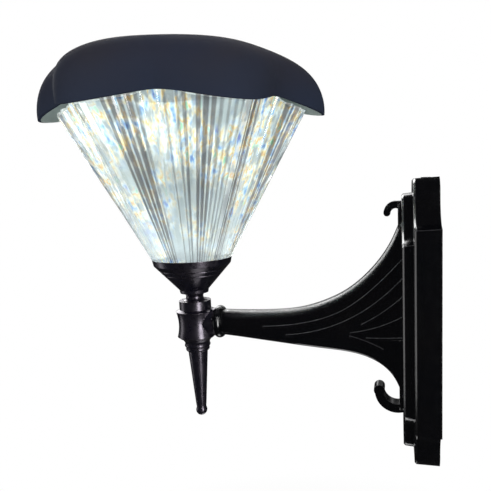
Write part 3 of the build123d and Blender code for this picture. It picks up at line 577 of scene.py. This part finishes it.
FINISHES = {
    "cap_plastic": cap_plastic(),
    "solar_glass": solar_glass(),
    "clear_acrylic": clear_acrylic(),
    "bronze_paint": bronze_paint(),
    "black_paint": black_paint(),
    "steel": steel(),
    "seal_rubber": moulded("seal_rubber", (0.022, 0.022, 0.022), (0.034, 0.033, 0.032), 0.7, 900.0),
    "white_plastic": moulded("white_plastic", (0.78, 0.80, 0.79), (0.85, 0.86, 0.85), 0.45, 1400.0),
    "silvered": silvered(),
    "board_green": board_green(),
    "board_white": moulded("board_white", (0.80, 0.80, 0.78), (0.88, 0.88, 0.86), 0.35, 1200.0),
    "chip_yellow": chip_yellow(),
    "cell_wrap": moulded("cell_wrap", (0.06, 0.20, 0.42), (0.08, 0.26, 0.52), 0.3, 500.0),
    "button_plastic": moulded("button_plastic", (0.42, 0.03, 0.025), (0.52, 0.045, 0.035), 0.45, 1600.0),
    "lead_sleeve": moulded("lead_sleeve", (0.42, 0.025, 0.025), (0.52, 0.03, 0.03), 0.5, 1600.0),
}

for part in frame["record"]["subparts"]:
    slots = NODES[part["node"]].data.materials
    slots.clear()
    slots.append(FINISHES[part["material_slot"]])


# Diffuser


def turn_of(column):
    return 2 * pi * column / COLUMNS


def height_share(height):
    """0 at the cup's rim, 1 at the flange."""
    return (height - CUP_RIM_Z) / (HEAD_Z - CUP_RIM_Z)


def lobed(turn, height, inset):
    """Radius of the lobed wall, moved in by inset: round at the cup's rim, six lobes at the head."""
    share = height_share(height)
    mean = WALL_FOOT_R + ((LOBE_R + VALLEY_R) / 2 - WALL_FOOT_R) * share
    wave = (LOBE_R - VALLEY_R) / 2 * share
    return mean - wave * cos(PETALS * turn) - inset


def reeded(column, height):
    """Radius of the reeded outside at one mesh column."""
    depth = REED_DEPTH_FOOT + (REED_DEPTH_TOP - REED_DEPTH_FOOT) * height_share(height)
    across = column % REED_STEPS / REED_STEPS
    return lobed(turn_of(column), height, depth * (2 * across - 1) ** 2)


def inner_radius(turn, height):
    """Radius of the inside of the wall, on a line from the floor to the flange."""
    low = FOOT_Z + FLOOR_T
    high = HEAD_Z - FLANGE_T
    share = (height - low) / (high - low)
    head = lobed(turn, HEAD_Z, REED_DEPTH_TOP + WALL)
    return (FOOT_R - WALL) * (1 - share) + head * share


def top_height(column):
    """Height of the wall's top edge: high behind the cap's notches, waved elsewhere."""
    rim_z = HEAD_Z + UPSTAND_H
    if reeded(column, rim_z) < UPSTAND_R:
        return rim_z
    return HEAD_Z + TOP_LIFT + TOP_WAVE * cos(PETALS * turn_of(column))


def wall_sections(column):
    """Radius and height of each ring of the outside, from the stem's hole to the top edge."""
    rows = [(HOLE_R, FOOT_Z), (FOOT_R, FOOT_Z), (FOOT_R, CUP_RIM_Z)]
    top = top_height(column)
    for i in range(WALL_ROWS + 1):
        height = CUP_RIM_Z + (top - CUP_RIM_Z) * i / WALL_ROWS
        rows.append((reeded(column, height), height))
    return rows


def flange_sections(column):
    """Radius and height of each ring of the flange with its collar, once round the section."""
    low = HEAD_Z - FLANGE_T
    edge = inner_radius(turn_of(column), low) - FLANGE_GAP
    collar_in = COLLAR_R - COLLAR_WALL
    return [(edge, low), (edge, HEAD_Z), (COLLAR_R, HEAD_Z), (COLLAR_R, COLLAR_TOP),
            (collar_in, COLLAR_TOP), (collar_in, low)]


def lamp_point(radius, turn, height):
    """A point of the head, where the turn starts at a valley."""
    return AXIS + Vector((radius * cos(turn + HEAD_TURN), radius * sin(turn + HEAD_TURN), height))


CLEAR, PRISM, RIM = range(3)                # materials of the moulding


class Moulding:
    """Points and faces of the diffuser, added ring by ring."""

    def __init__(self):
        self.points = []
        self.faces = []
        self.finish = []

    def add_point(self, radius, turn, height):
        self.points.append(lamp_point(radius, turn, height))

    def add_rings(self, sections):
        """One ring of points for each row of the sections, and the number of the first point."""
        first = len(self.points)
        for row in range(len(sections[0])):
            for column, section in enumerate(sections):
                radius, height = section[row]
                self.add_point(radius, turn_of(column), height)
        return first

    def add_face(self, finish, *corners):
        self.faces.append(corners)
        self.finish.append(finish)

    def join(self, lower, upper, finish):
        """A band of faces between two rings."""
        for c in range(COLUMNS):
            d = (c + 1) % COLUMNS
            self.add_face(finish, lower + c, lower + d, upper + d, upper + c)


def add_wall(moulding):
    """The closed wall: reeded outside, prisms inside, floor and top edge."""
    sections = [wall_sections(c) for c in range(COLUMNS)]
    first = moulding.add_rings(sections)
    rows = len(sections[0])
    for row in range(rows - 1):
        moulding.join(first + row * COLUMNS, first + (row + 1) * COLUMNS, CLEAR)

    # The prisms: a grid of low pyramids on the inside
    low = FOOT_Z + FLOOR_T
    grid = len(moulding.points)
    highs = [top_height(i * REED_STEPS) - TOP_EDGE for i in range(REEDS)]
    for k in range(PRISM_ROWS + 1):
        for i in range(REEDS):
            height = low + (highs[i] - low) * k / PRISM_ROWS
            turn = turn_of(i * REED_STEPS)
            moulding.add_point(inner_radius(turn, height), turn, height)
    for k in range(PRISM_ROWS):
        for i in range(REEDS):
            j = (i + 1) % REEDS
            turn = turn_of((i + 0.5) * REED_STEPS)
            height = low + ((highs[i] + highs[j]) / 2 - low) * (k + 0.5) / PRISM_ROWS
            a = grid + k * REEDS + i
            b = grid + k * REEDS + j
            c = b + REEDS
            d = a + REEDS
            tip = len(moulding.points)
            moulding.add_point(inner_radius(turn, height) - PRISM_DEPTH, turn, height)
            for near, far in ((b, a), (c, b), (d, c), (a, d)):
                moulding.add_face(PRISM, near, far, tip)

    # The top edge joins the last ring to the top of the grid
    # The floor joins the grid's foot to the first ring
    top = grid + PRISM_ROWS * REEDS
    last = first + (rows - 1) * COLUMNS
    for i in range(REEDS):
        j = (i + 1) % REEDS
        for step in range(REED_STEPS):
            c = i * REED_STEPS + step
            d = (c + 1) % COLUMNS
            moulding.add_face(RIM, last + c, last + d, top + i)
            moulding.add_face(CLEAR, first + d, first + c, grid + i)
        d = (i + 1) * REED_STEPS % COLUMNS
        moulding.add_face(RIM, last + d, top + j, top + i)
        moulding.add_face(CLEAR, first + d, grid + i, grid + j)


def add_flange(moulding):
    """The closed ring under the cap: flange and collar."""
    sections = [flange_sections(c) for c in range(COLUMNS)]
    first = moulding.add_rings(sections)
    rows = len(sections[0])
    for row in range(rows):
        moulding.join(first + row * COLUMNS, first + (row + 1) % rows * COLUMNS, RIM)


def add_object(name, data):
    made = bpy.data.objects.new(name, data)
    bpy.context.scene.collection.objects.link(made)
    return made


def make_diffuser():
    """The diffuser with its prisms, in place of the plain solid."""
    moulding = Moulding()
    add_wall(moulding)
    add_flange(moulding)
    mesh = bpy.data.meshes.new("diffuser_moulding")
    mesh.from_pydata(moulding.points, [], moulding.faces)
    for material in (FINISHES["clear_acrylic"], lit_prisms(), frosted_rim()):
        mesh.materials.append(material)
    for polygon, index in zip(mesh.polygons, moulding.finish):
        polygon.material_index = index
        polygon.use_smooth = index != PRISM
    mesh.set_sharp_from_angle(angle=SHARP_ANGLE)
    piece = add_object("diffuser_moulding", mesh)
    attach(piece, "lamp")
    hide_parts("diffuser")


make_diffuser()


# Studio


def area_light(name, place, aim, width, height, watts):
    """An oval light that the camera doesn't see."""
    data = bpy.data.lights.new(name, "AREA")
    data.shape = "ELLIPSE"
    data.size = width
    data.size_y = height
    data.energy = watts
    lamp = add_object(name, data)
    lamp.location = place
    lamp.rotation_mode = "QUATERNION"
    lamp.rotation_quaternion = (Vector(aim) - Vector(place)).to_track_quat("-Z", "Y")
    lamp.visible_camera = False
    return lamp


def make_lights():
    """Soft lights that gloss doesn't show, and lights that only gloss and glass show."""
    for light in SOFT_LIGHTS:
        area_light(*light).visible_glossy = False
    for light in GLOSS_LIGHTS:
        area_light(*light).visible_diffuse = False


def make_world():
    """White behind the object, and a dimmer room in front of it, which only gloss and glass show."""
    world = bpy.data.worlds.new("studio")
    bpy.context.scene.world = world
    world.use_nodes = True
    graph = Graph(world.node_tree)
    graph.nodes.clear()
    sees, camera, glossy = graph.backdrop_rays()
    x, _, z = graph.split(graph.node("ShaderNodeTexCoord").outputs["Generated"])
    glass = graph.remap(x, 1.0, ROOM_SIDE, *GLASS_REACH)
    gloss = graph.remap(x, 1.0, ROOM_SIDE, *GLOSS_REACH)
    gloss = graph.remap(z, ROOM_SIDE, gloss, *GLOSS_LOW)
    room = graph.mix(glossy, glass, gloss, "FLOAT")
    shown = graph.mix(camera, room, 1.0, "FLOAT")
    strength = graph.mix(sees, ROOM_LEVEL, shown, "FLOAT")
    background = graph.feed(graph.node("ShaderNodeBackground"), {"Color": WHITE, "Strength": strength})
    graph.feed(graph.node("ShaderNodeOutputWorld"), {"Surface": background.outputs[0]})


def make_floor():
    """A pale floor that shows as white and keeps the object's shadow."""
    half = FLOOR_SIZE / 2
    mesh = bpy.data.meshes.new("floor")
    corners = [(x * half, y * half, FLOOR_Z) for x, y in ((-1, -1), (1, -1), (1, 1), (-1, 1))]
    mesh.from_pydata(corners, [], [(0, 1, 2, 3)])
    floor = add_object("floor", mesh)
    s = Shader("floor", Roughness=0.9, Specular_IOR_Level=0.0)
    s.set(Base_Color=s.mottle(3.0, (0.88, 0.88, 0.88), (0.92, 0.92, 0.92)))
    distance = s.vectors("DISTANCE", s.place, (MIDDLE.x, MIDDLE.y, FLOOR_Z))["Value"]
    glow = s.remap(distance, *FLOOR_GLOW, *FLOOR_FADE)
    sees, _, _ = s.backdrop_rays()
    white = s.feed(s.node("ShaderNodeEmission"), {"Color": WHITE, "Strength": 1.0})
    blend = s.node("ShaderNodeMixShader")
    s.feed(blend, {0: s.product(sees, glow), 1: s.bsdf.outputs[0], 2: white.outputs[0]})
    s.feed(s.nodes["Material Output"], {"Surface": blend.outputs[0]})
    mesh.materials.append(s.material)
    floor.visible_glossy = False


def make_camera():
    """A camera at the photograph's viewing angle."""
    level = cos(CAMERA_PITCH)
    forward = Vector((-cos(CAMERA_YAW) * level, -sin(CAMERA_YAW) * level, -sin(CAMERA_PITCH)))
    side = forward.cross(Vector((0, 0, 1))).normalized()
    above = side.cross(forward)
    right = side * cos(CAMERA_ROLL) + above * sin(CAMERA_ROLL)
    up = above * cos(CAMERA_ROLL) - side * sin(CAMERA_ROLL)
    data = bpy.data.cameras.new("camera")
    data.sensor_width = CAMERA_SENSOR
    data.lens = CAMERA_LENS
    data.shift_x, data.shift_y = CAMERA_SHIFT
    data.clip_start = CAMERA_NEAR
    camera = add_object("camera", data)
    facing = Matrix((right, up, -forward)).transposed().to_4x4()
    camera.matrix_world = Matrix.Translation(CAMERA_PLACE) @ facing
    bpy.context.scene.camera = camera


make_world()
make_floor()
make_camera()
make_lights()
bpy.context.scene.view_settings.view_transform = "Standard"
